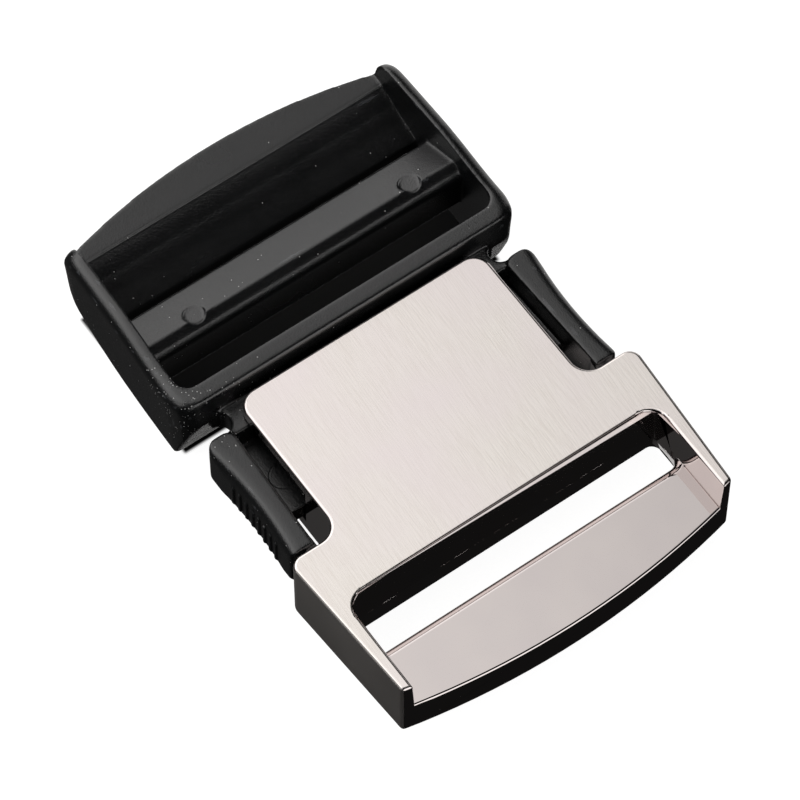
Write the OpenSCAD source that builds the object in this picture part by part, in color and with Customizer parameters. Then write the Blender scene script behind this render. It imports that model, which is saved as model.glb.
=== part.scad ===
// Side release buckle for flat webbing, drawn fastened and lying on its back.
// A plated die-cast housing with a webbing bar takes a black moulded frame, whose
// two sprung arms clip in behind the shoulders of the housing.
// X runs across the webbing, Y from the webbing bar to the adjusting frame, Z up.
// The origin is under the middle of the buckle, on the surface it lies on.
// Both halves are drawn from the underside of the housing at its shoulder line, at
// y = 0 and z = 0, and placed() moves them so that the origin is under the middle.

/* [Webbing] */
// Width of the webbing
webbing_w = 40; // [30:0.5:55]
// Play of the webbing in the windows of the frame
webbing_play = 0.7; // [0.2:0.1:2]

/* [Housing] */
// Height of the housing
housing_h = 9.8; // [9:0.1:12]
// Thickness of the top plate
plate_t = 1.6; // [1:0.1:2.2]
// Thickness of the bottom plate
floor_t = 2.2; // [1.2:0.1:2.6]
// Length of the neck behind the shoulders
neck_len = 19.1; // [16:0.1:26]
// Depth of each side notch, where a release arm lies
notch_d = 6.5; // [6:0.1:9]
// Distance from the shoulders to the middle of the front edge
head_len = 21.3; // [19:0.1:28]
// Distance from the shoulders to the webbing slot
head_wall = 7; // [6:0.1:9]
// Length of the webbing slot along the buckle
slot_len = 5.1; // [4.2:0.1:6.5]
// Thickness of each side wall at the shoulder
arm_root_t = 2.4; // [1.8:0.1:3]
// Thickness of each side wall at the front
arm_tip_t = 1.1; // [0.9:0.1:1.8]
// Height of the webbing bar
bar_h = 5.2; // [4.4:0.1:6.5]
// Bow of the front edge over the width of the webbing
front_bow = 2.05; // [1:0.05:3]
// Radius of the neck corners, the notches and the slot
corner_r = 2.2; // [1.2:0.1:2.8]
// Radius of the outer corners of the shoulders
shoulder_r = 1.4; // [0.6:0.1:2]
// Rounding of the webbing bar where the webbing bends round it
bar_r = 1.3; // [0.6:0.1:1.8]
// Height of the mould line in the webbing slot
mould_line_z = 3.9; // [2.5:0.1:4.2]
// Lean of the slot walls each way from the mould line
slot_draft = 0.35; // [0.1:0.05:0.6]
// Flare of the slot towards the underside
slot_flare = 0.6; // [0:0.1:0.8]

/* [Adjusting frame] */
// Gap between the end of the neck and the frame
seam_gap = 0.8; // [0.4:0.1:1.6]
// Length of the side walls of the frame
frame_len = 24.3; // [22:0.1:30]
// Height of the front crosswall above the housing
frame_rise = 1.6; // [0.8:0.1:2.4]
// How far the frame reaches below the underside of the housing
frame_sink = 2; // [0.5:0.1:3]
// Further height of the side walls beside the middle bar
frame_hump = 1.1; // [0.4:0.1:2]
// Thickness of the side walls
side_wall_t = 1.85; // [1.6:0.05:2.8]
// How far the outer face of each side wall draws in towards the rear
side_taper = 0.6; // [0:0.1:0.9]
// How far the inner face of each side wall draws in towards the rear
window_taper = 0.5; // [0:0.1:0.9]
// Thickness of the front crosswall
crosswall_t = 2.3; // [1.8:0.1:3.2]
// Height at which the front crosswall starts to lean back
lean_z = 6.5; // [5:0.1:7]
// How far the foot of the front crosswall lies behind its top
front_lean = 2.8; // [1:0.1:3.2]
// How far each side wall leans inwards at its foot
side_lean = 0.5; // [0:0.1:0.8]
// Rounding of the upper outer edges
rim_r = 1.7; // [0.8:0.1:1.8]
// Rounding of the lower outer edges
keel_r = 0.8; // [0.3:0.1:1.2]
// Radius of the window corners
window_r = 1.7; // [0.8:0.1:2.5]
// Length of the front webbing window
front_gap = 5.8; // [4.6:0.1:8]
// Length of the middle bar
bar_len = 6.5; // [5:0.1:8]
// Height of the middle bar at its crease
bar_depth = 7.2; // [6:0.1:8]
// How far the crease of the middle bar lies below the front crosswall
bar_drop = 1.6; // [1.2:0.1:2.4]
// Thickness of the tilted plate under the rear lip
tail_t = 1.5; // [1.2:0.1:2.2]
// How far the rear lip bows out behind the side walls
lip_bow = 2.8; // [2:0.1:5]
// Thickness of the rear lip
lip_t = 1.6; // [1.2:0.1:2.2]
// Diameter of the ejector marks on the middle bar
ejector_d = 2.4; // [1.5:0.1:3]
// Distance between the ejector marks
ejector_gap = 28.2; // [16:0.2:34]
// How far the pair of ejector marks lies off the middle
ejector_shift = 0.6; // [0:0.1:1.5]

/* [Release arms] */
// Width of each thumb button
button_w = 3.5; // [2.6:0.1:4.2]
// How far a button lies inside the shoulder
button_inset = 1.2; // [0.4:0.1:1.6]
// Gap between a button and the frame behind it
button_gap = 2.7; // [2:0.1:4]
// Gap between a button and the shoulder in front of it
button_front_gap = 0.9; // [0.4:0.1:1.6]
// Height of the button above the table
button_top_z = 8.4; // [7.6:0.1:9]
// Height of the underside of the button above the table
button_low_z = 2.2; // [1.4:0.1:2.4]
// Depth of the hollow for the thumb
grip_hollow = 0.35; // [0.1:0.05:0.6]
// Length of the hollow for the thumb
grip_len = 11.5; // [9:0.5:13]
// Number of grip ribs on each button
rib_count = 8; // [5:1:9]
// Height of the flat pad beside each button
pad_top_z = 4.8; // [4:0.1:5.6]
// How far the pads reach under the top plate
pad_under = 2.2; // [1:0.1:3]
// Thickness of each arm where it passes the shoulder
arm_t = 1.4; // [1:0.1:1.8]
// Catch of each hook behind the shoulder
hook_d = 1.3; // [0.8:0.1:1.5]
// Width of the middle tongue
tongue_w = 16; // [10:0.5:18]
// Clearance between the moulding and the cavity
fit = 0.3; // [0.15:0.05:0.5]

/* [Hidden] */

// Bite of one shape into the next, and of a cut past a face
eps = 0.5;
// Facets of a full circle
curve_fn = 96;

// Webbing slot and outline of the housing
slot_half = webbing_w / 2;
housing_half = slot_half + arm_root_t;
front_half = slot_half + arm_tip_t;
neck_half = housing_half - notch_d;
side_slope = (housing_half - front_half) / head_len;
front_r = (pow(slot_half, 2) + pow(front_bow, 2)) / (2 * front_bow);
slot_end = head_wall + slot_len;
bar_half = slot_half - slot_draft * (housing_h - bar_h) / (housing_h - mould_line_z);

// Cavity of the housing, from the back of the slot wall to the open rear mouth
cavity_h = housing_h - floor_t - plate_t;
slot_back_t = 1.6;
shoulder_t = 1.5;
pocket_wall_t = 1.3;
pocket_y = -(head_wall - slot_back_t);
pocket_half = housing_half - pocket_wall_t;
pillar_len = 6.3;
pillar_w = 2.7;

// Frame, measured back from its front face
frame_y = neck_len + seam_gap;
window_half = (webbing_w + webbing_play) / 2;
frame_half = window_half + side_wall_t;
front_z = housing_h + frame_rise;
hump_z = front_z + frame_hump;
frame_h = hump_z + frame_sink;
bar_front = crosswall_t + front_gap;
crease_z = front_z - bar_drop;
lip_r = (pow(window_half, 2) + pow(lip_bow, 2)) / (2 * lip_bow);

// Release arms
solid_low = floor_t + fit;
solid_high = housing_h - plate_t - fit;
button_out = housing_half - button_inset;
button_in = button_out - button_w;
button_rear = frame_y - button_gap;
button_draw = 0.6;
grip_y = (button_front_gap + button_rear) / 2 - 0.6;
grip_r = (pow(grip_len / 2, 2) + pow(grip_hollow, 2)) / (2 * grip_hollow);
hook_out = pocket_half - fit;
arm_out = hook_out - hook_d;
arm_in = arm_out - arm_t;

// Whole buckle
overall_len = head_len + frame_y + frame_len + lip_bow;
middle_y = overall_len / 2 - head_len;

module placed() {
    translate([0, -middle_y, frame_sink]) children();
}

module both_sides() {
    children();
    mirror([1, 0, 0]) children();
}

// Extrudes a side outline, given as [y, z] points, across the buckle
module across(half) {
    rotate([90, 0, 90]) translate([0, 0, -half]) linear_extrude(2 * half) children();
}

// Corner to take away so that an edge turns round a centre, between two angles
module round_off(at, r, from, to) {
    translate(at) difference() {
        polygon([[0, 0], for (angle = [from, (from + to) / 2, to]) 2 * r * [cos(angle), sin(angle)]]);
        circle(r, $fn = curve_fn);
    }
}

// Rectangle from y0 to y1 with rounded corners, of its own radius at each end
module slab2d(half, y0, y1, r0, r1) {
    difference() {
        translate([-half, y0]) square([2 * half, y1 - y0]);
        for (side = [0, 1]) mirror([side, 0]) {
            round_off([half - r0, y0 + r0], r0, -90, 0);
            round_off([half - r1, y1 - r1], r1, 0, 90);
        }
    }
}

// Outline of the housing from above: a T whose head draws in towards a bowed front
module housing2d() {
    slant = sqrt(1 + pow(side_slope, 2));
    round_x = housing_half - side_slope * shoulder_r - shoulder_r * slant;
    right = [
        [front_half, -head_len], [housing_half, 0], [neck_half + corner_r, 0],
        [neck_half + corner_r, corner_r], [neck_half, corner_r], [neck_half, neck_len]
    ];
    difference() {
        intersection() {
            polygon(concat(right, [for (i = [len(right) - 1:-1:0]) [-right[i][0], right[i][1]]]));
            translate([0, front_r - head_len]) circle(front_r, $fn = 4 * curve_fn);
        }
        for (side = [0, 1]) mirror([side, 0]) {
            round_off([round_x, -shoulder_r], shoulder_r, -atan(side_slope), 90);
            round_off([neck_half - corner_r, neck_len - corner_r], corner_r, 0, 90);
            translate([neck_half + corner_r, corner_r]) circle(corner_r, $fn = curve_fn);
        }
    }
}

// Room left by the slot walls, which lean outwards each way from the mould line
module slot_room() {
    line_half = slot_half - slot_draft;
    flare_half = slot_half + slot_flare;
    intersection() {
        rotate([90, 0, 0]) translate([0, 0, -head_len]) linear_extrude(3 * head_len) polygon([
            [line_half, mould_line_z], [slot_half, housing_h], [slot_half, housing_h + 1],
            [-slot_half, housing_h + 1], [-slot_half, housing_h], [-line_half, mould_line_z],
            [-flare_half, 0], [-flare_half, -1], [flare_half, -1], [flare_half, 0]
        ]);
        across(slot_half + 1) polygon([
            [-head_wall, housing_h + 1], [-head_wall, housing_h],
            [-head_wall - slot_draft / 2, mould_line_z],
            [-head_wall + slot_flare / 3, 0], [-head_wall + slot_flare / 3, -1],
            [-2 * head_len, -1], [-2 * head_len, housing_h + 1]
        ]);
    }
}

// The bar between the side walls, below its rounding, with a fillet at each end
module bar_block() {
    for (step = [[-2, mould_line_z, slot_half + slot_flare], [mould_line_z, bar_h, bar_half]])
        translate([0, 0, step[0]]) linear_extrude(step[1] - step[0]) difference() {
            translate([-housing_half, -3 * head_len])
                square([2 * housing_half, 3 * head_len - slot_end + bar_r]);
            slab2d(step[2], -slot_end, 0, bar_r, bar_r);
        }
}

// Webbing slot: open to the front above the bar, a rounded hole through below it
module slot_cut() {
    intersection() {
        slot_room();
        difference() {
            union() {
                translate([0, 0, mould_line_z]) linear_extrude(housing_h)
                    slab2d(slot_half, -2 * head_len, -head_wall, corner_r, corner_r);
                translate([0, 0, -1]) linear_extrude(mould_line_z + 1)
                    slab2d(slot_half + slot_flare, -2 * head_len, -head_wall + slot_flare / 3,
                        bar_r, bar_r);
            }
            bar_block();
        }
    }
}

// Corner profile that rounds an edge over, seen along the edge
module edge2d(r) {
    difference() {
        square(r + eps);
        circle(r, $fn = curve_fn);
    }
}

// Rounding of the bar along the slot, carried round the fillets at its ends
module bar_round() {
    edge_half = bar_half - bar_r;
    translate([0, 0, bar_h - bar_r]) {
        translate([-edge_half, -slot_end - bar_r, 0])
            rotate([90, 0, 90]) linear_extrude(2 * edge_half) edge2d(bar_r);
        for (side = [0, 1]) mirror([side, 0, 0]) translate([edge_half, -slot_end + bar_r, 0])
            intersection() {
                rotate([0, 0, -90]) rotate_extrude(angle = 90, $fn = curve_fn)
                    translate([2 * bar_r, 0]) mirror([1, 0]) edge2d(bar_r);
                translate([0, -3 * bar_r, -1]) cube([bar_r, 3 * bar_r, 3 * bar_r]);
            }
    }
}

// Cavity for the tongue and the arms, open at the rear and along both notches
module cavity() {
    translate([0, 0, floor_t]) linear_extrude(cavity_h) {
        translate([-housing_half, pillar_len]) square([2 * housing_half, neck_len]);
        translate([-neck_half + pillar_w, pocket_y]) square([2 * (neck_half - pillar_w), neck_len]);
        translate([-pocket_half, pocket_y]) square([2 * pocket_half, -pocket_y - shoulder_t]);
        for (side = [0, 1]) mirror([side, 0])
            translate([arm_in - hook_d, pocket_y])
                square([arm_t + hook_d + fit, corner_r - pocket_y]);
    }
}

module housing() {
    color([0.83, 0.80, 0.77]) placed() difference() {
        linear_extrude(housing_h) housing2d();
        slot_cut();
        bar_round();
        cavity();
    }
}

// Sections of the frame from front to back. Columns: place as a share of
// frame_len, lower edge as a share of frame_h, rise towards the hump as a share of
// frame_hump, drop of the top as a share of rim_r, draw-in of the sides as a
// share of rim_r.
frame_sections = [
    [0, 0.586, 0, 0.2, 1.1],
    [0.008, 0.547, 0, 0.04, 0.8],
    [0.02, 0.483, 0, 0, 0.54],
    [0.049, 0.335, 0, 0, 0.24],
    [0.082, 0.168, 0, 0, 0.1],
    [0.107, 0.042, 0, 0, 0.03],
    [0.122, 0.004, 0, 0, 0],
    [0.177, 0, 0, 0, 0],
    [0.237, 0, 0.08, 0, 0],
    [0.312, 0.002, 0.3, 0, 0],
    [0.424, 0.01, 0.7, 0, 0],
    [0.53, 0.028, 0.96, 0, 0],
    [0.666, 0.073, 1, 0, 0],
    [0.76, 0.112, 1, 0, 0],
    [0.842, 0.166, 1, 0, 0],
    [0.894, 0.218, 1, 0.04, 0],
    [0.93, 0.272, 1, 0.18, 0.02],
    [0.964, 0.36, 1, 0.5, 0.09],
    [0.987, 0.49, 1, 1.02, 0.26],
    [1, 0.6, 1, 1.6, 0.62]
];
corner_steps = 6;

// One section of the frame as a ring of [x, z] points, counter-clockwise
function frame_ring(foot, half, low, high, r_low, r_high) = [
    for (corner = [
        [foot - r_low, low + r_low, r_low, -90],
        [half - r_high, high - r_high, r_high, 0],
        [-half + r_high, high - r_high, r_high, 90],
        [-foot + r_low, low + r_low, r_low, 180]
    ])
        for (i = [0:corner_steps])
            let (angle = corner[3] + 90 * i / corner_steps)
            [corner[0] + corner[2] * cos(angle), corner[1] + corner[2] * sin(angle)]
];

// Outer form of the frame, lofted through its sections
module frame_form() {
    rings = [
        for (s = frame_sections) let (
            low = s[1] * frame_h - frame_sink,
            high = front_z + s[2] * frame_hump - s[3] * rim_r,
            half = frame_half - s[0] * side_taper - s[4] * rim_r,
            foot = half - (1 - s[1]) * side_lean,
            most_r = 0.45 * (high - low)
        ) [
            for (p = frame_ring(foot, half, low, high, min(keel_r, most_r), min(rim_r, most_r)))
                [p[0], s[0] * frame_len, p[1]]
        ]
    ];
    count = len(rings[0]);
    last = len(rings) - 1;
    polyhedron(
        points = [for (ring = rings) for (p = ring) p],
        faces = concat(
            [[for (i = [count - 1:-1:0]) i]],
            [for (j = [0:last - 1]) for (i = [0:count - 1])
                let (k = (i + 1) % count)
                [j * count + i, j * count + k, (j + 1) * count + k, (j + 1) * count + i]],
            [[for (i = [0:count - 1]) last * count + i]]
        )
    );
}

// Outline of the middle bar from the side, round from its crease. Columns: place
// as a share of bar_len, depth below the crease as a share of bar_depth.
bar_outline = [
    [0.26, 0], [1, 0.285], [0.985, 0.39], [0.85, 0.556], [0.48, 0.89],
    [0.12, 1], [0.05, 0.944], [0, 0.222], [0.03, 0.146], [0.09, 0.08]
];

// Middle bar: a top that falls to the rear from a crease, a rounded nose in front
module middle_bar() {
    across(window_half + eps) polygon([
        for (p = bar_outline) [bar_front + p[0] * bar_len, crease_z - p[1] * bar_depth]
    ]);
}

// Outline of the rear plate and lip from the side, round from the lower front.
// Columns: place as a share of frame_len, height as a share of hump_z, and the
// part of the plate's and of the lip's thickness that lies over that line.
tail_outline = [
    [0.672, 0.305, 0, 0], [0.842, 0.45, 0, 0], [0.914, 0.568, 0, 0],
    [1.18, 0.764, 0, -1], [1.18, 0.764, 0, 0], [0.938, 0.7, 0, 0],
    [0.852, 0.458, 1, 0], [0.672, 0.305, 1, 0]
];

// Tilted plate behind the rear window, which runs out into the curved lip
module tail() {
    intersection() {
        across(window_half + eps) polygon([
            for (p = tail_outline)
                [p[0] * frame_len, p[1] * hump_z + p[2] * tail_t + p[3] * lip_t]
        ]);
        translate([0, frame_len + lip_bow - lip_r, -1]) cylinder(h = 2 * hump_z, r = lip_r,
            $fn = 4 * curve_fn);
    }
}

// Webbing window right through the frame, and the open space over the rear lip.
// Its front wall leans back with the front of the frame.
module window_cut() {
    far_y = frame_len + 2 * window_r + 1;
    far_half = window_half - window_taper;
    low = -frame_sink - 1;
    lean = front_lean / (lean_z + frame_sink);
    intersection() {
        translate([0, 0, low]) linear_extrude(2 * frame_h) intersection() {
            slab2d(window_half, crosswall_t, far_y, window_r, window_r);
            polygon([
                [-window_half, 0], [window_half, 0], [window_half, crosswall_t + window_r],
                [far_half, frame_len + eps], [-far_half, frame_len + eps],
                [-window_half, crosswall_t + window_r]
            ]);
        }
        across(window_half + 1) polygon([
            [crosswall_t - 1, 2 * frame_h], [crosswall_t - 1, lean_z + 1 / lean],
            [crosswall_t + lean * (lean_z - low), low], [far_y, low], [far_y, 2 * frame_h]
        ]);
    }
}

// Ejector marks, sunk into the top of the middle bar just behind its crease
module ejector_marks() {
    mark_place = 0.35;
    mark_sink = 0.55;
    mark_tilt = -12;
    for (side = [-1, 1])
        translate([
            ejector_shift + side * ejector_gap / 2, bar_front + mark_place * bar_len,
            crease_z - mark_sink
        ])
            rotate([mark_tilt, 0, 0]) cylinder(h = bar_drop, d = ejector_d, $fn = 48);
}

// Thumb button: its inner side draws in towards the front, its outer side is
// hollowed for the thumb, and its upper outer edge rolls over along that hollow
module button() {
    front_r = 0.8;
    rear_r = 1.3;
    crest_w = 1.2;
    crest_h = 1.8;
    grip_at = [button_out - grip_hollow + grip_r, grip_y];
    difference() {
        translate([0, 0, button_low_z]) linear_extrude(button_top_z - button_low_z) difference() {
            translate([button_in + button_w / 2, 0])
                slab2d(button_w / 2, button_front_gap, button_rear, front_r, rear_r);
            translate(grip_at) circle(grip_r, $fn = 4 * curve_fn);
            polygon([
                [button_in, button_rear], [button_in + button_draw, button_front_gap],
                [button_in + button_draw, 0], [button_in - eps, 0], [button_in - eps, button_rear]
            ]);
        }
        translate([button_out - grip_hollow + grip_r, grip_y, button_top_z - crest_h])
            rotate([0, 0, 90]) rotate_extrude(angle = 180, $fn = 4 * curve_fn) polygon([
                [grip_r - 1, 0],
                for (angle = [0:22.5:90])
                    [grip_r + crest_w - crest_w * cos(angle), crest_h * sin(angle)],
                [grip_r + crest_w, crest_h + 1], [grip_r - 1, crest_h + 1]
            ]);
    }
}

// Depth of the thumb hollow at a place along the button
function grip_depth(y) = max(0, grip_hollow - pow(y - grip_y, 2) / (2 * grip_r));

// Upright grip ribs on the outer side of a button
module grip_ribs() {
    rib_pitch = 1.15;
    rib_w = 0.5;
    rib_h = 3.6;
    rib_out = 0.25;
    first_y = grip_y - rib_count / 2 * rib_pitch;
    for (i = [0:rib_count - 1])
        let (y = first_y + i * rib_pitch)
            translate([button_out - grip_depth(y) - rib_w + rib_out, y, button_low_z + rib_w])
                cube([rib_w, rib_w, rib_h]);
}

// Arm in front of the button: it passes the shoulder and hooks in behind it
module hook() {
    catch_y = -shoulder_t - fit;
    catch_lead = 1;
    tip_y = pocket_y + fit;
    root_y = button_front_gap + 1;
    translate([0, 0, solid_low]) linear_extrude(solid_high - solid_low) polygon([
        [arm_in, root_y], [arm_in, tip_y], [arm_out, tip_y], [hook_out, catch_y - catch_lead],
        [hook_out, catch_y], [arm_out, catch_y], [arm_out, root_y]
    ]);
}

// Link that the arm bends at, with the round notch between button and frame
module link() {
    notch_r = button_gap / 2;
    link_in = neck_half - eps;
    link_out = button_in - notch_r / 2;
    link_low = pad_top_z - 0.3;
    root_len = 0.8;
    translate([0, 0, link_low]) linear_extrude(solid_high - link_low) difference() {
        translate([link_in, button_rear - root_len])
            square([link_out + notch_r - link_in, button_gap + root_len + 0.7 * crosswall_t]);
        translate([link_out + notch_r, button_rear + notch_r]) circle(notch_r, $fn = curve_fn);
    }
}

module release_arm() {
    button();
    grip_ribs();
    hook();
    link();
    translate([neck_half - pad_under, pillar_len + fit, solid_low])
        cube([button_in + button_draw + eps - neck_half + pad_under,
            button_rear - pillar_len - 2 * fit, pad_top_z - solid_low]);
}

// Base that carries both arms, and the tongue that guides the frame in the neck
module tongue() {
    base_y = button_rear + fit;
    translate([-neck_half, base_y, solid_low])
        cube([2 * neck_half, frame_y + 0.7 * crosswall_t - base_y, solid_high - solid_low]);
    translate([-tongue_w / 2, pocket_y + fit, solid_low])
        cube([tongue_w, base_y - pocket_y, solid_high - solid_low]);
}

module frame() {
    color([0.12, 0.12, 0.125]) placed() {
        translate([0, frame_y, 0]) {
            difference() {
                frame_form();
                window_cut();
            }
            difference() {
                middle_bar();
                ejector_marks();
            }
            tail();
        }
        tongue();
        both_sides() release_arm();
    }
}

housing();
frame();
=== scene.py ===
# %% [markdown]
# A side release buckle for 40 mm webbing, fastened and lying flat. Two pieces make it:
# a zinc casting plated with nickel, brushed on top and bright round the edges, and a
# frame moulded in black acetal that clips into it.
# The CAD model already holds both shapes at their real size. This script gives them
# what a maker sees next: broken edges, finishes, light and a camera.

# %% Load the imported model
import math

import bmesh
import bpy
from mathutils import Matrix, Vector


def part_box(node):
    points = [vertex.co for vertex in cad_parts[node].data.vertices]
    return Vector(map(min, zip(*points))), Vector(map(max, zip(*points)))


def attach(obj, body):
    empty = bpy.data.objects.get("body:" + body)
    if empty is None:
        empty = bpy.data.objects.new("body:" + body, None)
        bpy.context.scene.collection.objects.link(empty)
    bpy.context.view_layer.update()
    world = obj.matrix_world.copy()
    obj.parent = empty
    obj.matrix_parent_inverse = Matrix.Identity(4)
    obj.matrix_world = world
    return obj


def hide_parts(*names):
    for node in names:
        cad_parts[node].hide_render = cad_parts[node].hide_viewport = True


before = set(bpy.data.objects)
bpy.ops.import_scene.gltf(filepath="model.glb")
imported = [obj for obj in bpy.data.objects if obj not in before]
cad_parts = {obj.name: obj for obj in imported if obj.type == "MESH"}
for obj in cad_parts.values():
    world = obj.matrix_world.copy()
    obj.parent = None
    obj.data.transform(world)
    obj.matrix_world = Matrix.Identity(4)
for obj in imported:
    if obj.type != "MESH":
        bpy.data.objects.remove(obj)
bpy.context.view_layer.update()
MM = 0.001

# %% [markdown]
# The finishes below sit at real places on the buckle. The top and the floor of the
# housing come from its own box. The line of its shoulders, where the head gets wider
# than the neck, is given as a number.

# %% Landmarks of the buckle
housing_low, housing_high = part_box("housing")
HOUSING_FLOOR = housing_low.z
HOUSING_TOP = housing_high.z
SHOULDER_Y = -12.85 * MM
print("housing from", round(HOUSING_FLOOR / MM, 1), "to", round(HOUSING_TOP / MM, 1), "mm high")

# %% [markdown]
# Colours are written as sRGB hex values, the way a colour picker shows them. Blender
# calculates in linear light, so one function turns a hex value into linear numbers.
# The numbers in it are those of the sRGB standard.

# %% Colour helper


def srgb(hex_value):
    channels = [int(hex_value[i:i + 2], 16) / 255 for i in (1, 3, 5)]
    linear = [c / 12.92 if c <= 0.04045 else ((c + 0.055) / 1.055) ** 2.4 for c in channels]
    return (*linear, 1.0)


print("mid grey is", [round(c, 3) for c in srgb("#808080")])

# %% [markdown]
# A material is a small network of nodes. One helper adds a node, sets its options and
# fills its sockets: a socket gets a plain value, or a link when it is given another
# node's output. Every material starts with a shader and ends by filling its sockets.

# %% Helpers for nodes and objects


def fill_sockets(tree, node, sockets):
    for key, value in sockets.items():
        if isinstance(value, bpy.types.NodeSocket):
            tree.links.new(value, node.inputs[key])
        else:
            node.inputs[key].default_value = value


def add_node(tree, kind, sockets=None, **options):
    node = tree.nodes.new("ShaderNode" + kind)
    for name, value in options.items():
        setattr(node, name, value)
    fill_sockets(tree, node, sockets or {})
    return node


def new_material(name):
    material = bpy.data.materials.new(name)
    material.use_nodes = True
    tree = material.node_tree
    tree.nodes.clear()
    shader = add_node(tree, "BsdfPrincipled")
    add_node(tree, "OutputMaterial", {"Surface": shader.outputs["BSDF"]})
    return material, tree, shader


def finished(material, shader, sockets):
    tree = material.node_tree
    fill_sockets(tree, shader, sockets)
    print(material.name, "has", len(tree.nodes), "nodes")
    return material


def new_object(name, data):
    made = bpy.data.objects.new(name, data)
    bpy.context.scene.collection.objects.link(made)
    return made


print("helpers ready for Blender", bpy.app.version_string)

# %% [markdown]
# Brushed nickel. The top of the casting was drawn over an abrasive belt before it
# was plated, a little askew to the buckle's length. The plate follows the scratches,
# so the face scatters light across them and looks satin, with a fine grain. Real
# scratches are about 0.03 mm apart. That is finer than a pixel, so they are drawn
# 0.16 mm apart, and the roughness stands for the rest. The belt bites more in one
# spot than in the next, so a slow cloud fades the scratches in and out, and the
# colour of the plate drifts a little with it.

# %% Brushed nickel
SCRATCH_GAP = 0.16 * MM
SCRATCH_LENGTH = 3.2 * MM
SCRATCH_DEPTH = 0.02 * MM
BRUSH_ANGLE = math.radians(3)
PLATE_CLOUD = 13 * MM
COOL_PLATE = srgb("#EDE2E3")
WARM_PLATE = srgb("#F5F0E9")
UNSCRATCHED = srgb("#FFFFFF")
SCRATCHED = srgb("#F5F3F1")


def brushed_nickel():
    material, tree, shader = new_material("brushed nickel plate")
    place = add_node(tree, "TexCoord").outputs["Object"]
    turned = add_node(tree, "Mapping", {
        "Vector": place, "Rotation": (0, 0, BRUSH_ANGLE),
    })
    stretched = add_node(tree, "Mapping", {
        "Vector": turned.outputs["Vector"],
        "Scale": (1 / SCRATCH_GAP, 1 / SCRATCH_LENGTH, 1 / SCRATCH_GAP),
    })
    grain = add_node(tree, "TexNoise", {
        "Vector": stretched.outputs["Vector"], "Scale": 1.0, "Detail": 3.0, "Roughness": 0.7,
    })
    cloud = add_node(tree, "TexNoise", {
        "Vector": place, "Scale": 1 / PLATE_CLOUD, "Detail": 2.0,
    })
    patches = add_node(tree, "MapRange", {
        "Value": cloud.outputs["Fac"], "From Min": 0.35, "From Max": 0.65,
        "To Min": 0.3, "To Max": 0.8,
    })
    scratches = add_node(tree, "MapRange", {
        "Value": grain.outputs["Fac"], "From Min": 0.4, "From Max": 0.7,
    })
    depth = add_node(tree, "Math", {
        0: scratches.outputs["Result"], 1: patches.outputs["Result"],
    }, operation="MULTIPLY")
    plate = add_node(tree, "Mix", {
        "Factor": patches.outputs["Result"], 6: COOL_PLATE, 7: WARM_PLATE,
    }, data_type="RGBA")
    tint = add_node(tree, "Mix", {
        "Factor": depth.outputs["Value"], 6: UNSCRATCHED, 7: SCRATCHED,
    }, data_type="RGBA")
    colour = add_node(tree, "Mix", {
        "Factor": 1.0, 6: plate.outputs[2], 7: tint.outputs[2],
    }, data_type="RGBA", blend_type="MULTIPLY")
    rough = add_node(tree, "MapRange", {
        "Value": cloud.outputs["Fac"], "From Min": 0.3, "From Max": 0.7,
        "To Min": 0.22, "To Max": 0.27,
    })
    bump = add_node(tree, "Bump", {
        "Height": depth.outputs["Value"], "Strength": 0.12, "Distance": SCRATCH_DEPTH,
    })
    return finished(material, shader, {
        "Base Color": colour.outputs[2], "Roughness": rough.outputs["Result"],
        "Normal": bump.outputs["Normal"], "Metallic": 1.0,
    })


brushed = brushed_nickel()

# %% [markdown]
# Bright nickel. Where no belt reached, the plate lies on a tumbled casting and is
# nearly a mirror. It shows little of its own colour and much of what stands round
# it. A casting is never quite flat, so a slow ripple bends the reflections. Half way
# up the webbing slot the two halves of the die met. The bead of metal there was
# scraped off by hand, and what is left of it glints in dashes. A real bead is about
# 0.05 mm wide. That wouldn't show, so it is drawn 0.17 mm to each side of its line,
# and only in the slot: in front of the sewing bar it was polished away.

# %% Bright nickel
RIPPLE = 5 * MM
RIPPLE_HEIGHT = 0.05 * MM
MOULD_LINE_Z = HOUSING_FLOOR + 3.9 * MM
BEAD_WIDTH = 0.17 * MM
BEAD_HEIGHT = 0.17 * MM
BEAD_FRONT_Y = -28 * MM
DASH = 1.6 * MM
MIRROR_ROUGHNESS = 0.05
DARKER_PLATE = srgb("#CBC3C2")
LIGHTER_PLATE = srgb("#D2CAC7")


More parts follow.
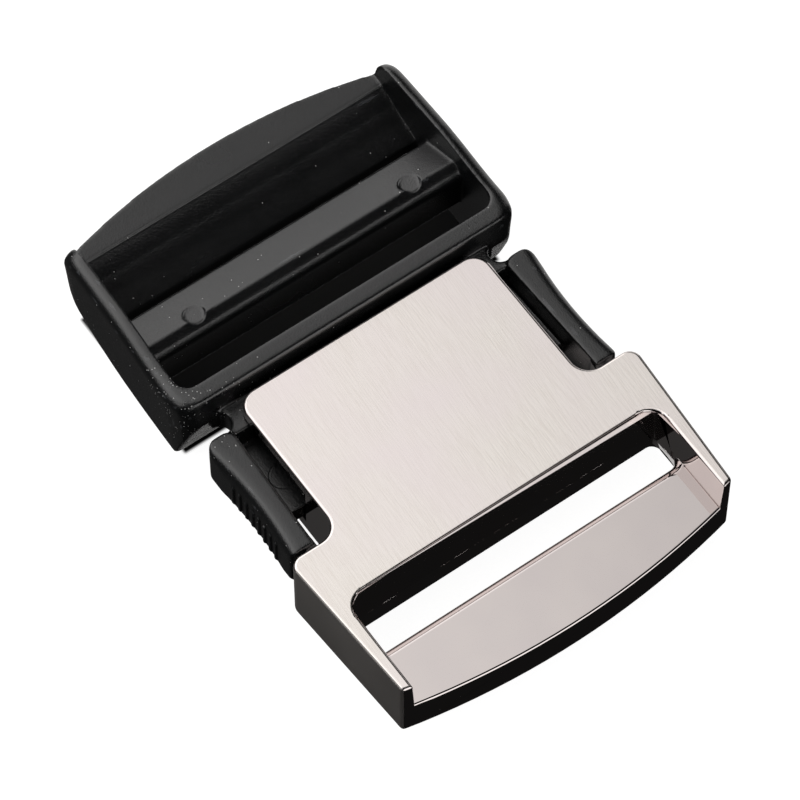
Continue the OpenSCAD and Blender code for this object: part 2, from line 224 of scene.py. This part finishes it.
def bright_nickel():
    material, tree, shader = new_material("bright nickel plate")
    place = add_node(tree, "TexCoord").outputs["Object"]
    axes = add_node(tree, "SeparateXYZ", {"Vector": place})
    off_line = add_node(tree, "Math", {
        0: axes.outputs["Z"], 1: MOULD_LINE_Z,
    }, operation="SUBTRACT")
    distance = add_node(tree, "Math", {0: off_line.outputs["Value"]}, operation="ABSOLUTE")
    bead = add_node(tree, "MapRange", {
        "Value": distance.outputs["Value"], "From Min": BEAD_WIDTH, "From Max": 0.0,
    })
    dashes = add_node(tree, "TexNoise", {"Vector": place, "Scale": 1 / DASH, "Detail": 2.0})
    left_over = add_node(tree, "MapRange", {
        "Value": dashes.outputs["Fac"], "From Min": 0.5, "From Max": 0.6,
        "To Min": 0.0, "To Max": BEAD_HEIGHT,
    })
    behind = add_node(tree, "Math", {
        0: axes.outputs["Y"], 1: BEAD_FRONT_Y,
    }, operation="GREATER_THAN")
    dashed = add_node(tree, "Math", {
        0: left_over.outputs["Result"], 1: behind.outputs["Value"],
    }, operation="MULTIPLY")
    bead_height = add_node(tree, "Math", {
        0: bead.outputs["Result"], 1: dashed.outputs["Value"],
    }, operation="MULTIPLY")
    ripple = add_node(tree, "TexNoise", {"Vector": place, "Scale": 1 / RIPPLE, "Detail": 1.0})
    waves = add_node(tree, "Bump", {
        "Height": ripple.outputs["Fac"], "Strength": 0.1, "Distance": RIPPLE_HEIGHT,
    })
    bump = add_node(tree, "Bump", {
        "Height": bead_height.outputs["Value"], "Normal": waves.outputs["Normal"],
        "Strength": 1.0, "Distance": 1.0,
    })
    plate = add_node(tree, "Mix", {
        "Factor": ripple.outputs["Fac"], 6: DARKER_PLATE, 7: LIGHTER_PLATE,
    }, data_type="RGBA")
    return finished(material, shader, {
        "Base Color": plate.outputs[2], "Roughness": MIRROR_ROUGHNESS,
        "Normal": bump.outputs["Normal"], "Metallic": 1.0,
    })


bright = bright_nickel()

# %% [markdown]
# Satin nickel. The outer walls of the casting were tumbled with stones and then
# plated. They are too rough to mirror anything and too smooth to look painted: a grey
# sheen that is bright under the top edge and dies away towards the table.

# %% Satin nickel
PEBBLE = 0.35 * MM
PEBBLE_HEIGHT = 0.02 * MM
DULL_GREY = srgb("#9B9794")
SATIN_GREY = srgb("#AFABA8")


def satin_nickel():
    material, tree, shader = new_material("satin nickel plate")
    place = add_node(tree, "TexCoord").outputs["Object"]
    pebbles = add_node(tree, "TexNoise", {"Vector": place, "Scale": 1 / PEBBLE, "Detail": 3.0})
    cloud = add_node(tree, "TexNoise", {"Vector": place, "Scale": 1 / PLATE_CLOUD, "Detail": 2.0})
    plate = add_node(tree, "Mix", {
        "Factor": cloud.outputs["Fac"], 6: DULL_GREY, 7: SATIN_GREY,
    }, data_type="RGBA")
    rough = add_node(tree, "MapRange", {
        "Value": cloud.outputs["Fac"], "From Min": 0.3, "From Max": 0.7,
        "To Min": 0.5, "To Max": 0.58,
    })
    bump = add_node(tree, "Bump", {
        "Height": pebbles.outputs["Fac"], "Strength": 0.3, "Distance": PEBBLE_HEIGHT,
    })
    return finished(material, shader, {
        "Base Color": plate.outputs[2], "Roughness": rough.outputs["Result"],
        "Normal": bump.outputs["Normal"], "Metallic": 1.0,
    })


satin = satin_nickel()

# %% [markdown]
# Marks of the mould. Pins pushed the moulding out of its tool and left round rings:
# two on the middle bar and one on the left pad. A fine raised line runs along the
# lip, where two plates of the tool met. Rings and line are too thin for the mesh, so
# they are bump, wider than the real ones so that they show. Nothing is drawn low on
# the moulding.

# %% Marks of the mould
# Place in X and Y and radius of each ring, in millimetres
PIN_MARKS = ((-13.5, 17.47, 1.2), (14.7, 17.47, 1.2), (-15.5, -2.0, 1.5))
MARKS_LOWEST = 6 * MM
LIP_LINE_Y = 29.84 * MM
LIP_LINE_HALF = 19.8 * MM
LINE_WIDTH = 0.14 * MM
LINE_HEIGHT = 0.04 * MM


def fine_line(tree, value, level):
    away = add_node(tree, "Math", {0: value, 1: level}, operation="SUBTRACT")
    either_side = add_node(tree, "Math", {0: away.outputs["Value"]}, operation="ABSOLUTE")
    return add_node(tree, "MapRange", {
        "Value": either_side.outputs["Value"], "From Min": LINE_WIDTH, "From Max": 0.0,
    }, interpolation_type="SMOOTHSTEP").outputs["Result"]


def pin_rings(tree, place):
    level = add_node(tree, "VectorMath", {0: place, 1: (1, 1, 0)}, operation="MULTIPLY")
    rings = 0.0
    for x, y, radius in PIN_MARKS:
        away = add_node(tree, "VectorMath", {
            0: level.outputs["Vector"], 1: (x * MM, y * MM, 0),
        }, operation="DISTANCE")
        ring = fine_line(tree, away.outputs["Value"], radius * MM)
        rings = add_node(tree, "Math", {0: rings, 1: ring}, operation="MAXIMUM").outputs["Value"]
    return rings


def mould_marks(tree, place):
    axes = add_node(tree, "SeparateXYZ", {"Vector": place})
    aside = add_node(tree, "Math", {0: axes.outputs["X"]}, operation="ABSOLUTE")
    inside = add_node(tree, "Math", {
        0: aside.outputs["Value"], 1: LIP_LINE_HALF,
    }, operation="LESS_THAN")
    lip_line = add_node(tree, "Math", {
        0: fine_line(tree, axes.outputs["Y"], LIP_LINE_Y), 1: inside.outputs["Value"],
    }, operation="MULTIPLY")
    marks = add_node(tree, "Math", {
        0: lip_line.outputs["Value"], 1: pin_rings(tree, place),
    }, operation="SUBTRACT")
    high = add_node(tree, "Math", {
        0: axes.outputs["Z"], 1: MARKS_LOWEST,
    }, operation="GREATER_THAN")
    shown = add_node(tree, "Math", {
        0: marks.outputs["Value"], 1: high.outputs["Value"],
    }, operation="MULTIPLY")
    return add_node(tree, "Math", {
        0: shown.outputs["Value"], 1: LINE_HEIGHT,
    }, operation="MULTIPLY").outputs["Value"]


print(len(PIN_MARKS), "pin marks and one line along the lip")

# %% [markdown]
# Black acetal. It is a tough, slightly waxy plastic, moulded in a tool whose walls
# were spark-eroded to a fine matte texture. It scatters a broad, soft shine and hardly
# any colour. Fingers and webbing wear its outer edges smoother and paler, and the pale
# grey there is also a painted highlight along those edges: the pointiness of the mesh
# tells where they are. Handling leaves specks of pale dust in the texture, most of them
# at the corner beside the left thumb. The real texture is about 0.05 mm fine and the
# dust as small. Neither would show, so they are drawn 0.16 and 0.32 mm apart. Acetal's
# own IOR is about 1.48: its IOR and specular level here are matched to the shine of the object.

# %% Black acetal
TEXTURE_GRAIN = 0.16 * MM
TEXTURE_HEIGHT = 0.035 * MM
FLOW = 9 * MM
DUST_CELL = 0.32 * MM
DUST_SIZE = 0.24
DUSTY_CORNER = (-20 * MM, 9 * MM, 12 * MM)
DUSTY_REACH = 9 * MM
DUST_SHARE_FAR = 0.012
DUST_SHARE_NEAR = 0.55
# Pointiness where the edge wear and painted highlight start and where they are full
WEAR_AND_HIGHLIGHT_START = 0.52
WEAR_AND_HIGHLIGHT_FULL = 0.60
DEEP_BLACK = srgb("#0B0C0D")
FLOW_BLACK = srgb("#101112")
WORN_AND_HIGHLIGHT_GREY = srgb("#4A4C4F")
PALE_DUST = srgb("#C4C4C2")


def dust_specks(tree, place):
    cells = add_node(tree, "TexVoronoi", {"Vector": place, "Scale": 1 / DUST_CELL})
    speck = add_node(tree, "MapRange", {
        "Value": cells.outputs["Distance"], "From Min": DUST_SIZE, "From Max": DUST_SIZE / 2,
    })
    away = add_node(tree, "VectorMath", {0: place, 1: DUSTY_CORNER}, operation="DISTANCE")
    corner = add_node(tree, "MapRange", {
        "Value": away.outputs["Value"], "From Min": DUSTY_REACH, "From Max": 0.0,
        "To Min": DUST_SHARE_FAR, "To Max": DUST_SHARE_NEAR,
    })
    draw = add_node(tree, "SeparateXYZ", {"Vector": cells.outputs["Color"]})
    kept = add_node(tree, "Math", {
        0: draw.outputs["X"], 1: corner.outputs["Result"],
    }, operation="LESS_THAN")
    return add_node(tree, "Math", {
        0: speck.outputs["Result"], 1: kept.outputs["Value"],
    }, operation="MULTIPLY").outputs["Value"]


def black_acetal():
    material, tree, shader = new_material("black moulded acetal")
    place = add_node(tree, "TexCoord").outputs["Object"]
    grain = add_node(tree, "TexNoise", {
        "Vector": place, "Scale": 1 / TEXTURE_GRAIN, "Detail": 2.0, "Roughness": 0.6,
    })
    flow = add_node(tree, "TexNoise", {"Vector": place, "Scale": 1 / FLOW, "Detail": 2.0})
    # Paler grey on pointy edges: wear, and a painted highlight along them
    worn_and_highlit = add_node(tree, "MapRange", {
        "Value": add_node(tree, "NewGeometry").outputs["Pointiness"],
        "From Min": WEAR_AND_HIGHLIGHT_START, "From Max": WEAR_AND_HIGHLIGHT_FULL,
    })
    rubbed_and_highlit = add_node(tree, "Math", {
        0: worn_and_highlit.outputs["Result"], 1: grain.outputs["Fac"],
    }, operation="MULTIPLY")
    resin = add_node(tree, "Mix", {
        "Factor": flow.outputs["Fac"], 6: DEEP_BLACK, 7: FLOW_BLACK,
    }, data_type="RGBA")
    edges = add_node(tree, "Mix", {
        "Factor": rubbed_and_highlit.outputs["Value"], 6: resin.outputs[2], 7: WORN_AND_HIGHLIGHT_GREY,
    }, data_type="RGBA")
    colour = add_node(tree, "Mix", {
        "Factor": dust_specks(tree, place), 6: edges.outputs[2], 7: PALE_DUST,
    }, data_type="RGBA")
    rough = add_node(tree, "MapRange", {
        "Value": flow.outputs["Fac"], "From Min": 0.3, "From Max": 0.7,
        "To Min": 0.22, "To Max": 0.28,
    })
    moulded = add_node(tree, "Bump", {
        "Height": mould_marks(tree, place), "Strength": 1.0, "Distance": 1.0,
    })
    bump = add_node(tree, "Bump", {
        "Height": grain.outputs["Fac"], "Normal": moulded.outputs["Normal"],
        "Strength": 1.0, "Distance": TEXTURE_HEIGHT,
    })
    return finished(material, shader, {
        "Base Color": colour.outputs[2], "Roughness": rough.outputs["Result"],
        "Normal": bump.outputs["Normal"], "IOR": 1.44, "Specular IOR Level": 1.0,
    })


acetal = black_acetal()

# %% [markdown]
# A CAD solid has knife edges, and no real casting has, so a Bevel modifier will run
# along them. Boolean cuts leave slanting lines on upright walls, where one triangle
# of a curve ends. A bevel would follow those too. This test finds them: both sides
# turn little, the wall is upright, and the line runs neither level nor plumb.

# %% Slanting lines left by cuts
EDGE_ANGLE = math.radians(28)
DIAGONAL = 0.05 * MM
WALL_TILT = 0.2


def is_diagonal(edge):
    if len(edge.link_faces) != 2 or edge.calc_face_angle() > EDGE_ANGLE:
        return False
    wall = edge.link_faces[0].normal + edge.link_faces[1].normal
    span = edge.verts[1].co - edge.verts[0].co
    along = wall.cross(Vector((0, 0, 1)))
    if abs(wall.normalized().z) > WALL_TILT:
        return False
    return abs(span.z) > DIAGONAL and abs(span.dot(along.normalized())) > DIAGONAL


print("edges turning over", round(math.degrees(EDGE_ANGLE)), "degrees are rounded")

# %% [markdown]
# A polished face shows every error of its normals. Blender's smooth shading let the
# long thin faces beside a bevel tilt it, and the bar mirrored a dark blob. So each
# corner of a face gets the mean normal of the faces at its point that turn less than
# 50 degrees from its own. They are weighted by the square of their area, so the large
# flat ones win. The modifiers are applied first, because the normals belong to the
# final mesh.

# %% Applied modifiers and even normals
SMOOTH_TURN = math.cos(math.radians(50))


def apply_modifiers(piece):
    graph = bpy.context.evaluated_depsgraph_get()
    piece.data = bpy.data.meshes.new_from_object(piece.evaluated_get(graph))
    piece.modifiers.clear()


def even_normals(mesh):
    around = [[] for point in mesh.vertices]
    for face in mesh.polygons:
        for point in face.vertices:
            around[point].append((face.normal.copy(), face.area ** 2))
    normals = []
    for face in mesh.polygons:
        for point in face.vertices:
            near = [n * share for n, share in around[point] if n.dot(face.normal) > SMOOTH_TURN]
            normals.append(sum(near, Vector()).normalized())
    mesh.normals_split_custom_set(normals)
    print("even normals at", len(normals), "corners of faces")


# %% [markdown]
# The housing is a copy of its CAD node. The triangles of every flat face are joined
# and the slanting lines dissolved, so that the bevel has clean chains to run along.
# Each edge that turns outwards carries a weight from 0 to 1, its radius as a share of
# the widest one. Inward edges stay sharp: a bevel threw out spikes there.

# %% Copy of a cast node
WIDEST = 0.9 * MM
SAME_POINT = 0.002 * MM
FLAT_ANGLE = math.radians(0.6)
BEVEL_SEGMENTS = 3


def cast_mesh(node, name, radius_of):
    shape = bmesh.new()
    shape.from_mesh(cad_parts[node].data)
    bmesh.ops.remove_doubles(shape, verts=shape.verts, dist=SAME_POINT)
    bmesh.ops.dissolve_limit(
        shape, angle_limit=FLAT_ANGLE, verts=shape.verts, edges=shape.edges)
    bmesh.ops.dissolve_edges(shape, edges=[e for e in shape.edges if is_diagonal(e)])
    weight = shape.edges.layers.float.new("bevel_weight_edge")
    rounded = 0
    for edge in shape.edges:
        turn = edge.calc_face_angle_signed() if len(edge.link_faces) == 2 else 0
        if turn > EDGE_ANGLE:
            edge[weight] = radius_of(edge) / WIDEST
            rounded += 1
    for face in shape.faces:
        face.smooth = True
    mesh = bpy.data.meshes.new(name)
    shape.to_mesh(mesh)
    shape.free()
    print(name, "has", rounded, "rounded edges")
    return mesh


def cast_copy(node, name, radius_of):
    piece = new_object(name, cast_mesh(node, name, radius_of))
    bevel = piece.modifiers.new("broken edges", "BEVEL")
    bevel.limit_method = "WEIGHT"
    bevel.width = WIDEST
    bevel.segments = BEVEL_SEGMENTS
    bevel.use_clamp_overlap = False
    bevel.loop_slide = False
    apply_modifiers(piece)
    even_normals(piece.data)
    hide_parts(node)
    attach(piece, "root")
    print(name, "has", len(piece.data.polygons), "faces")
    return piece


# %% [markdown]
# Radii of the casting: wide where the hand and the webbing rub, narrow inside the
# slot, where the tool's halves met. One radius runs along each whole chain of edges,
# because a bevel that changes width between two edges in line throws out a spike.
# The side arms draw in from the shoulders to their tips, so their outer faces are
# found by a line between the two half widths.

# %% Radii of the housing
TOUCH = 0.1 * MM
HEAD_LENGTH = 21.3 * MM
SHOULDER_HALF = 22.4 * MM
FRONT_HALF = 21.1 * MM
SLOT_BACK = 5 * MM
SLOT_FRONT_Y = -25.2 * MM
BAR_TOP = HOUSING_FLOOR + 5.2 * MM
BAR_FRONT_Y = -31 * MM
ARM_TIP_Y = -31.5 * MM
WALL_SKIN = 0.9 * MM
UPRIGHT = 0.9
RADII = {
    "tip corner": 0.45 * MM, "corner": 0.25 * MM,
    "tip top": 0.5 * MM, "top between arms": 0.35 * MM, "top": 0.42 * MM,
    "bar front": 0.4 * MM, "floor": 0.6 * MM, "slot": 0.15 * MM,
}


def outer_half(y):
    along = (SHOULDER_Y - y) / HEAD_LENGTH
    return SHOULDER_HALF + (FRONT_HALF - SHOULDER_HALF) * along


def is_between_arms(spot):
    return spot.y < SHOULDER_Y - SLOT_BACK and abs(spot.x) < outer_half(spot.y) - WALL_SKIN


def edge_kind(edge):
    spot = (edge.verts[0].co + edge.verts[1].co) / 2
    inner = is_between_arms(spot)
    at_tip = spot.y < ARM_TIP_Y
    if abs((edge.verts[1].co - edge.verts[0].co).normalized().z) > UPRIGHT:
        return "tip corner" if at_tip and not inner else "corner"
    if spot.z > HOUSING_TOP - TOUCH:
        if at_tip:
            return "tip top"
        return "top between arms" if inner else "top"
    if abs(spot.z - BAR_TOP) < TOUCH and spot.y < BAR_FRONT_Y:
        return "bar front"
    if spot.z < HOUSING_FLOOR + TOUCH and not (inner and spot.y > SLOT_FRONT_Y):
        return "floor"
    return "slot"


def housing_radius(edge):
    return RADII[edge_kind(edge)]


print("radii in mm:", {kind: round(radius / MM, 2) for kind, radius in RADII.items()})

# %% [markdown]
# The casting carries three finishes at once. Which one a face gets follows from how
# it was worked: the belt reached the flat top, the stones reached the outer walls of
# the head, and everything else kept the bright plate.

# %% Housing
BRIGHT, BRUSHED, SATIN = range(3)
FACES_UP = 0.95
FACES_ASIDE = 0.7
OUTER_SKIN = 0.6 * MM


def finish_of(face):
    if face.normal.z > FACES_UP and face.center.z > HOUSING_TOP - TOUCH:
        return BRUSHED
    outside = abs(face.center.x) > outer_half(face.center.y) - OUTER_SKIN
    if abs(face.normal.x) > FACES_ASIDE and outside and face.center.y < SHOULDER_Y:
        return SATIN
    return BRIGHT


housing = cast_copy("housing", "housing_plated", housing_radius)
for finish in (bright, brushed, satin):
    housing.data.materials.append(finish)
for face in housing.data.polygons:
    face.material_index = finish_of(face)

# %% [markdown]
# The moulding has soft edges all over, and lofted sides on which a bevel would run
# ragged, so it will be skinned and smoothed. Its rims, its rear plate and its lip are
# handled most and are rounder than the rest. This share, from 0 to 1, says where they
# are. The two marks on the middle bar get none, or the smoothing would wipe them out.

# %% Softer edges of the moulding
LIP_START = 22 * MM
LIP_FULL = 24 * MM
RIM_START = 8.2 * MM
RIM_FULL = 9.4 * MM
BAR_MARK_Z = 11.45
BAR_MARKS = [Vector((x, y, BAR_MARK_Z)) * MM for x, y, radius in PIN_MARKS[:2]]
MARK_REACH = 2 * MM


def softness(place):
    if any((place - mark).length < MARK_REACH for mark in BAR_MARKS):
        return 0.0
    lip = (place.y - LIP_START) / (LIP_FULL - LIP_START)
    rim = (place.z - RIM_START) / (RIM_FULL - RIM_START)
    return min(1.0, max(0.0, lip, rim))


print("softness of the lip's middle:", softness(Vector((0, LIP_LINE_Y, BAR_MARK_Z * MM))))

# %% [markdown]
# Remesh wraps the CAD shape in a fine even net. Smooth sinks every edge of that net
# by a few tenths of a millimetre, and then goes on where the edges are softer.
# Decimate takes away the points that the flat stretches don't need. The tool was
# round in the bend of the rear plate, so the net is raised there by 0.23 mm.

# %% Skin of a moulded node
VOXEL = 0.11 * MM
SMOOTH_FACTOR = 0.5
SMOOTH_STEPS = 10
SOFT_STEPS = 36
KEPT_FACES = 0.14
BEND_Y = 27.75 * MM
BEND_HALF = 2 * MM
BEND_FILL = 0.23 * MM
BEND_TOP = 11 * MM


def add_smooth(piece, name, steps):
    smooth = piece.modifiers.new(name, "SMOOTH")
    smooth.factor = SMOOTH_FACTOR
    smooth.iterations = steps
    return smooth


def fill_bend(mesh):
    for point in mesh.vertices:
        near = max(0.0, 1 - abs(point.co.y - BEND_Y) / BEND_HALF)
        if point.co.z < BEND_TOP:
            point.co.z += BEND_FILL * near ** 2


def moulded_copy(node, name):
    piece = new_object(name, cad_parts[node].data.copy())
    remesh = piece.modifiers.new("fine even skin", "REMESH")
    remesh.mode = "VOXEL"
    remesh.voxel_size = VOXEL
    remesh.use_smooth_shade = True
    add_smooth(piece, "soft edges", SMOOTH_STEPS)
    apply_modifiers(piece)
    fill_bend(piece.data)
    handled = piece.vertex_groups.new(name="handled edges")
    for point in piece.data.vertices:
        share = softness(point.co)
        if share > 0:
            handled.add([point.index], share, "REPLACE")
    add_smooth(piece, "softer rims and lip", SOFT_STEPS).vertex_group = handled.name
    fewer = piece.modifiers.new("fewer faces on flats", "DECIMATE")
    fewer.ratio = KEPT_FACES
    apply_modifiers(piece)
    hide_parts(node)
    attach(piece, "root")
    print(name, "has", len(piece.data.polygons), "faces")
    return piece


# %% [markdown]
# The frame is one moulding: a head with two windows, a middle bar, a rear plate with
# a lip, and two spring arms with thumb buttons. One plastic covers all of it.

# %% Frame
moulding = moulded_copy("frame", "frame_moulded")
moulding.data.materials.clear()
moulding.data.materials.append(acetal)

# %% [markdown]
# The floor's sheet is pale and shines by itself, like a lit table, so the buckle
# throws only a faint shadow on it. Under the head of the moulded frame, between its
# side walls and from its front wall to its lip, the sheet is painted black: painted
# shade for the little light that gets there, so the frame's windows show black.

# %% Pale sheet with painted shade
# Box of the painted shade under the head of the frame
PAINTED_SHADE_LEFT = -20.9 * MM
PAINTED_SHADE_RIGHT = 21.4 * MM
PAINTED_SHADE_FRONT = 9.1 * MM
PAINTED_SHADE_REAR = 30 * MM
PAINTED_SHADE_FADE = 0.5 * MM
SHEET_ROUGHNESS = 0.9
SHEET_GLOW = 0.95
PAPER = srgb("#8F8E8C")
# Colour and glow of the painted shade: black paper that doesn't glow
PAINTED_SHADE_PAPER = srgb("#050505")
LIT = srgb("#FFFFFF")
PAINTED_SHADE_NO_GLOW = srgb("#000000")


def pale_sheet_with_painted_shade():
    material, tree, shader = new_material("pale studio sheet with painted shade")
    place = add_node(tree, "TexCoord").outputs["Object"]
    axes = add_node(tree, "SeparateXYZ", {"Vector": place})
    fades = [
        ("X", PAINTED_SHADE_LEFT, PAINTED_SHADE_LEFT + PAINTED_SHADE_FADE),
        ("X", PAINTED_SHADE_RIGHT, PAINTED_SHADE_RIGHT - PAINTED_SHADE_FADE),
        ("Y", PAINTED_SHADE_FRONT, PAINTED_SHADE_FRONT + PAINTED_SHADE_FADE),
        ("Y", PAINTED_SHADE_REAR, PAINTED_SHADE_REAR - PAINTED_SHADE_FADE),
    ]
    # Share of painted shade: 1 under the head of the frame, 0 round it
    painted_shade = 1.0
    for axis, start, end in fades:
        fade = add_node(tree, "MapRange", {
            "Value": axes.outputs[axis], "From Min": start, "From Max": end,
        }, interpolation_type="SMOOTHSTEP")
        painted_shade = add_node(tree, "Math", {
            0: painted_shade, 1: fade.outputs["Result"],
        }, operation="MULTIPLY").outputs["Value"]
    colour = add_node(tree, "Mix", {
        "Factor": painted_shade, 6: PAPER, 7: PAINTED_SHADE_PAPER,
    }, data_type="RGBA")
    glow_with_painted_shade = add_node(tree, "Mix", {"Factor": painted_shade, 6: LIT, 7: PAINTED_SHADE_NO_GLOW}, data_type="RGBA")
    return finished(material, shader, {
        "Base Color": colour.outputs[2], "Emission Color": glow_with_painted_shade.outputs[2],
        "Roughness": SHEET_ROUGHNESS, "Emission Strength": SHEET_GLOW,
    })


sheet_finish = pale_sheet_with_painted_shade()

# %% [markdown]
# The sheet is round and curves up into a wall, as a studio's cove does, so that no
# horizon shows from any side. Its profile is a flat stretch, a quarter circle and an
# upright, turned round the middle. The buckle itself doesn't see the sheet, so the
# polished walls mirror a dark room.

# %% Floor
CENTRE_RADIUS = 0.05
FLAT_RADIUS = 1.5
COVE_RADIUS = 1.0
WALL_TOP = 4.0
COVE_STEPS = 16
ROUND_STEPS = 96


def cove_profile():
    bend = [math.pi / 2 * i / COVE_STEPS for i in range(COVE_STEPS + 1)]
    curve = [
        (FLAT_RADIUS + COVE_RADIUS * math.sin(a), COVE_RADIUS * (1 - math.cos(a))) for a in bend]
    return [(CENTRE_RADIUS, 0.0), *curve, (FLAT_RADIUS + COVE_RADIUS, WALL_TOP)]


def sheet_mesh(name):
    sheet = bmesh.new()
    turns = [2 * math.pi * i / ROUND_STEPS for i in range(ROUND_STEPS)]
    rings = [
        [sheet.verts.new((radius * math.cos(a), radius * math.sin(a), height)) for a in turns]
        for radius, height in cove_profile()]
    sheet.faces.new(rings[0])
    for inner, outer in zip(rings, rings[1:]):
        for i in range(ROUND_STEPS):
            j = (i + 1) % ROUND_STEPS
            sheet.faces.new((inner[i], outer[i], outer[j], inner[j]))
    mesh = bpy.data.meshes.new(name)
    sheet.to_mesh(mesh)
    sheet.free()
    return mesh


floor = new_object("floor", sheet_mesh("floor"))
floor.data.materials.append(sheet_finish)
for ray_kind in ("visible_glossy", "visible_diffuse", "visible_shadow"):
    setattr(floor, ray_kind, False)
print("floor sheet of", len(floor.data.polygons), "faces")

# %% [markdown]
# The camera stands where the photograph was taken from: 35 degrees to the left of
# the metal end, 61 degrees above the table, with a long lens half a metre away. It
# aims at the middle of the shoulders, a little to the left and above, which puts the
# buckle where it is in the photograph.

# %% Camera
AZIMUTH = math.radians(-35.38)
ELEVATION = math.radians(61.29)
DISTANCE = 533.8 * MM
ASIDE = -6.55 * MM
ABOVE = 10.21 * MM
SENSOR = 36.0
LENS = 225.0
NEAREST = 0.01


def direction(azimuth, elevation):
    level = math.cos(elevation)
    return Vector((math.sin(azimuth) * level, -math.cos(azimuth) * level, math.sin(elevation)))


back = direction(AZIMUTH, ELEVATION)
right = Vector((math.cos(AZIMUTH), math.sin(AZIMUTH), 0))
up = back.cross(right)
aim = Vector((0, SHOULDER_Y, HOUSING_FLOOR)) + right * ASIDE + up * ABOVE
lens = bpy.data.cameras.new("camera")
lens.sensor_width = SENSOR
lens.lens = LENS
lens.clip_start = NEAREST
camera = new_object("camera", lens)
camera.location = aim + back * DISTANCE
camera.rotation_euler = (-back).to_track_quat("-Z", "Y").to_euler()
bpy.context.scene.camera = camera
print("camera at", [round(v, 3) for v in camera.location])

# %% [markdown]
# A polished part shows its lights as shapes, so the studio is drawn as a dark room
# with bright places, each with its brightness and with a start and an end of its
# fade along X, Y and Z of the direction that a ray looks in. One very large screen
# fills the rear left up to overhead, and shines more at its left and rear ends. A low
# screen stands in front. The last two are what the buckle sees of the table: white
# behind it, nearly black at the left. The dark gap between the large screen and the
# low one draws the thin dark line along every front edge.

# %% Room
SCREENS = {
    "rear left": (1.12, {"X": (0.62, 0.18), "Y": (-0.16, 0.04), "Z": (0.08, 0.3)}),
    "far left": (0.6, {"X": (-0.3, -0.6), "Y": (-0.16, 0.04), "Z": (0.08, 0.3)}),
    "far rear": (0.6, {"X": (0.62, 0.18), "Y": (0.5, 0.75), "Z": (0.08, 0.3)}),
    "low front": (1.7, {"X": (0.9, 0.6), "Y": (-0.72, -0.85), "Z": (-0.1, 0.1)}),
    "table behind": (0.8, {"X": (0.0, 0.2), "Y": (0.1, 0.3), "Z": (0.3, 0.08)}),
    "table at the left": (0.035, {"X": (0.1, -0.1), "Y": (0.0, 0.2), "Z": (0.1, -0.1)}),
}
DARK_ROOM = 0.008
LAMP_WHITE = srgb("#FDFCFB")

world = bpy.data.worlds.new("bright screens in a dark room")
world.use_nodes = True
sky = world.node_tree
sky.nodes.clear()
ray = add_node(sky, "TexCoord").outputs["Generated"]
axes = add_node(sky, "SeparateXYZ", {"Vector": ray})
total = DARK_ROOM
for brightness, fades in SCREENS.values():
    screen = brightness
    for axis, (start, end) in fades.items():
        fade = add_node(sky, "MapRange", {
            "Value": axes.outputs[axis], "From Min": start, "From Max": end,
        }, interpolation_type="SMOOTHSTEP")
        screen = add_node(sky, "Math", {
            0: screen, 1: fade.outputs["Result"],
        }, operation="MULTIPLY").outputs["Value"]
    total = add_node(sky, "Math", {0: screen, 1: total}, operation="ADD").outputs["Value"]
background = add_node(sky, "Background", {"Color": LAMP_WHITE, "Strength": total})
add_node(sky, "OutputWorld", {"Surface": background.outputs["Background"]})
bpy.context.scene.world = world
bpy.context.scene.view_settings.view_transform = "Standard"
print(len(SCREENS), "bright places in the room")

# %% [markdown]
# The plastic and the sheet get one more lamp, high behind on the left. Reflections
# leave it out, or its outline would show as a hard shape in the polished bar.

# %% Fill lamp
LAMP_AZIMUTH = math.radians(-130)
LAMP_ELEVATION = math.radians(50)
LAMP_DISTANCE = 0.9
LAMP_LENGTH = 0.8
LAMP_WIDTH = 0.6
LAMP_BRIGHTNESS = 0.3

lamp = bpy.data.lights.new("fill lamp", "AREA")
lamp.shape = "RECTANGLE"
lamp.size = LAMP_LENGTH
lamp.size_y = LAMP_WIDTH
lamp.energy = LAMP_BRIGHTNESS * math.pi * LAMP_LENGTH * LAMP_WIDTH
toward = direction(LAMP_AZIMUTH, LAMP_ELEVATION)
light = new_object("fill lamp", lamp)
light.location = toward * LAMP_DISTANCE
light.rotation_euler = toward.to_track_quat("Z", "Y").to_euler()
light.visible_glossy = False
print("fill lamp of", round(lamp.energy, 2), "W at", [round(v, 2) for v in light.location])
